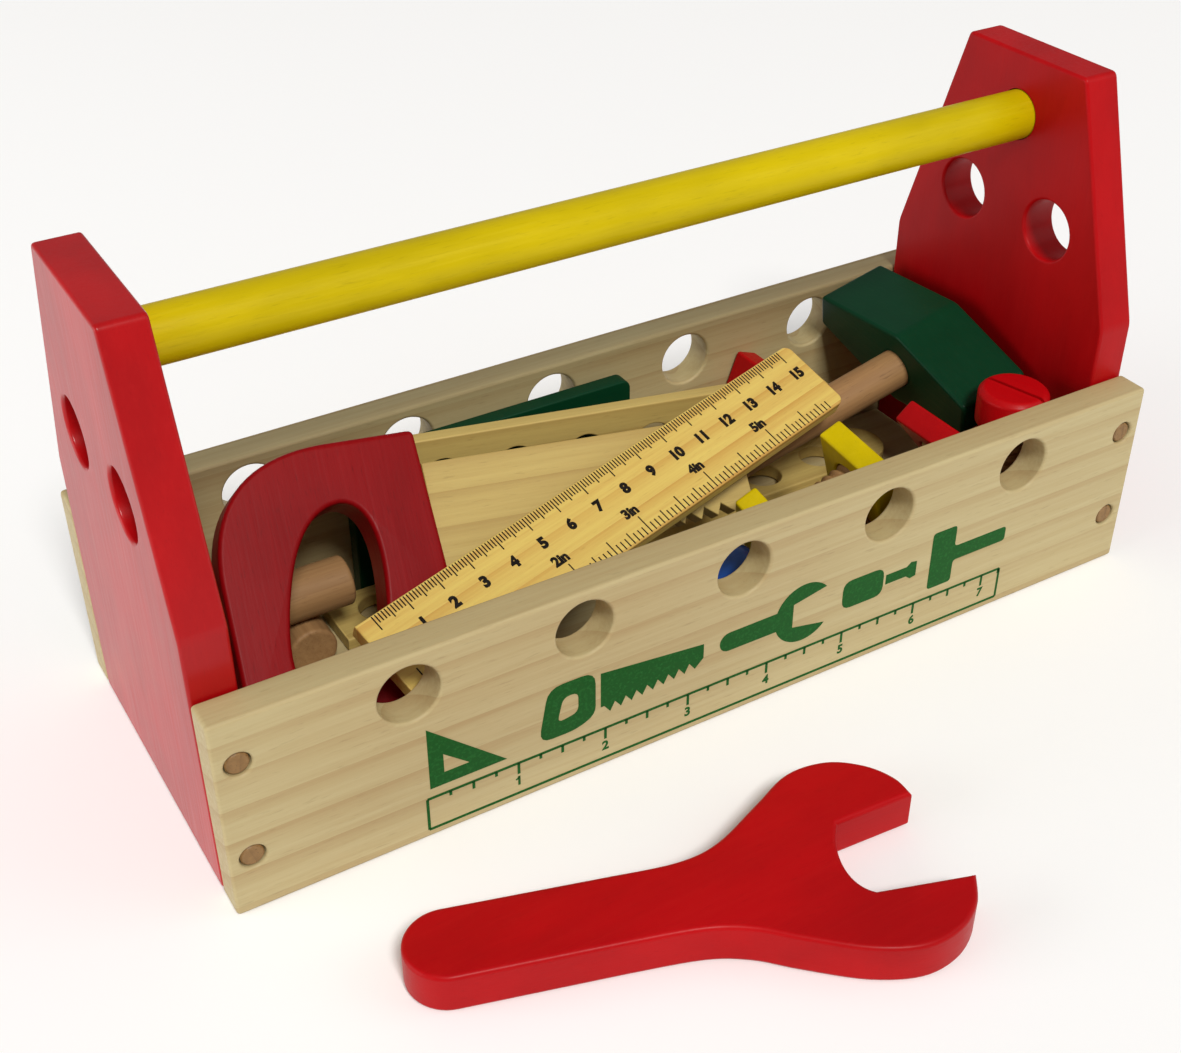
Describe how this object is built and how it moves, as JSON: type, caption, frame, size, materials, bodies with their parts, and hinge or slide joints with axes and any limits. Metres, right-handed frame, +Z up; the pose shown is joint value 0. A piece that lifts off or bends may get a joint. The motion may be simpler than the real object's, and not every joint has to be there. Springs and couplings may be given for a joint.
{
  "type": "toy carpenter's toolbox",
  "caption": "Open wooden toy tool box with a dowel carrying handle, filled with wooden tools, bolts and nuts, with an open-ended wrench beside it.",
  "frame": {"origin": "centre of the box's underside, on the surface it stands on", "axes": "+X along the box to the right, +Y to its back, +Z up"},
  "size_m": [0.28, 0.2049, 0.141],
  "materials": {
    "pine_panel": "satin",
    "pine_strip": "satin",
    "beech_dowel": "matt",
    "ruler_wood": "satin",
    "red_paint": "satin lacquer",
    "red_stain": "satin, thin stain with the grain showing",
    "yellow_paint": "satin lacquer",
    "green_paint": "satin lacquer",
    "blue_gloss": "gloss lacquer",
    "black_ink": "matt print on the ruler",
    "green_ink": "matt print on the front panel"
  },
  "bodies": {
    "toolbox": {"side_panel_front": "pine_panel", "side_panel_back": "pine_panel", "end_panel_left": "red_paint", "end_panel_right": "red_paint", "base_panel": "pine_panel", "handle_dowel": "yellow_paint", "pin_front_left_lower": "beech_dowel", "pin_front_left_upper": "beech_dowel", "pin_front_right_lower": "beech_dowel", "pin_front_right_upper": "beech_dowel", "pin_back_left_lower": "beech_dowel", "pin_back_left_upper": "beech_dowel", "pin_back_right_lower": "beech_dowel", "pin_back_right_upper": "beech_dowel"},
    "hammer": {"hammer_head": "green_paint", "hammer_handle": "beech_dowel"},
    "saw": {"saw_handle": "red_stain", "saw_blade": "pine_strip"},
    "ruler": {"ruler": "ruler_wood"},
    "corner_bolt": {"corner_bolt_head": "red_paint", "corner_bolt_rod": "beech_dowel"},
    "long_bolt": {"long_bolt_head": "red_paint", "long_bolt_rod": "beech_dowel"},
    "red_nut": {"red_nut": "red_paint"},
    "yellow_bolt": {"yellow_bolt_head": "yellow_paint", "yellow_bolt_rod": "beech_dowel", "yellow_nut": "yellow_paint"},
    "screwdriver": {"screwdriver_handle": "blue_gloss", "screwdriver_shaft": "beech_dowel"},
    "upright_strip": {"perforated_strip_upright": "pine_strip"},
    "right_strip": {"perforated_strip_right": "pine_strip"},
    "left_strip": {"perforated_strip_left": "pine_strip"},
    "green_plate": {"green_plate": "green_paint"},
    "back_nut": {"back_nut": "red_paint"},
    "long_peg": {"long_peg": "beech_dowel"},
    "short_peg": {"short_peg": "beech_dowel"},
    "wrench": {"wrench": "red_paint"}
  },
  "joints": [
    {"name": "hammer_lift", "type": "slide", "parent": "toolbox", "child": "hammer", "axis": [0, 0, 1], "range_m": [0, 0.024]},
    {"name": "saw_draw", "type": "slide", "parent": "hammer", "child": "saw", "axis": [0, 0.6947, 0.7193], "range_m": [0, 0.17]},
    {"name": "ruler_lift", "type": "slide", "parent": "hammer", "child": "ruler", "axis": [0, 0, 1], "range_m": [0, 0.026]},
    {"name": "corner_bolt_lift", "type": "slide", "parent": "toolbox", "child": "corner_bolt", "axis": [0, 0, 1], "range_m": [0, 0.14]},
    {"name": "long_bolt_turn", "type": "hinge", "parent": "toolbox", "child": "long_bolt", "pos_m": [0.09, -0.0295, 0.0412], "axis": [0.7771, 0, 0.6293], "continuous": true},
    {"name": "red_nut_turn", "type": "hinge", "parent": "toolbox", "child": "red_nut", "pos_m": [0.09, -0.0295, 0.0412], "axis": [0.7771, 0, 0.6293], "range_deg": [-12, 12]},
    {"name": "yellow_bolt_lift", "type": "slide", "parent": "toolbox", "child": "yellow_bolt", "axis": [0.5257, -0.0077, 0.8506], "range_m": [0, 0.1]},
    {"name": "screwdriver_turn", "type": "hinge", "parent": "toolbox", "child": "screwdriver", "pos_m": [-0.001, -0.033, 0.0225], "axis": [0.9781, 0, 0.2079], "continuous": true},
    {"name": "upright_strip_lift", "type": "slide", "parent": "toolbox", "child": "upright_strip", "axis": [0, 0, 1], "range_m": [0, 0.125]},
    {"name": "right_strip_slide", "type": "slide", "parent": "toolbox", "child": "right_strip", "axis": [1, 0, 0], "range_m": [-0.004, 0.014]},
    {"name": "left_strip_slide", "type": "slide", "parent": "toolbox", "child": "left_strip", "axis": [1, 0, 0], "range_m": [-0.003, 0.004]},
    {"name": "green_plate_lift", "type": "slide", "parent": "toolbox", "child": "green_plate", "axis": [0, 0, 1], "range_m": [0, 0.14]},
    {"name": "back_nut_lift", "type": "slide", "parent": "toolbox", "child": "back_nut", "axis": [0, 0, 1], "range_m": [0, 0.125]},
    {"name": "long_peg_turn", "type": "hinge", "parent": "toolbox", "child": "long_peg", "pos_m": [-0.102, 0.02, 0.0269], "axis": [1, 0, 0], "continuous": true},
    {"name": "short_peg_turn", "type": "hinge", "parent": "toolbox", "child": "short_peg", "pos_m": [-0.0912, 0.0272, 0.0126], "axis": [0, 1, 0], "continuous": true},
    {"name": "wrench_lift", "type": "slide", "parent": "toolbox", "child": "wrench", "axis": [0, 0, 1], "range_m": [0, 0.1]}
  ]
}
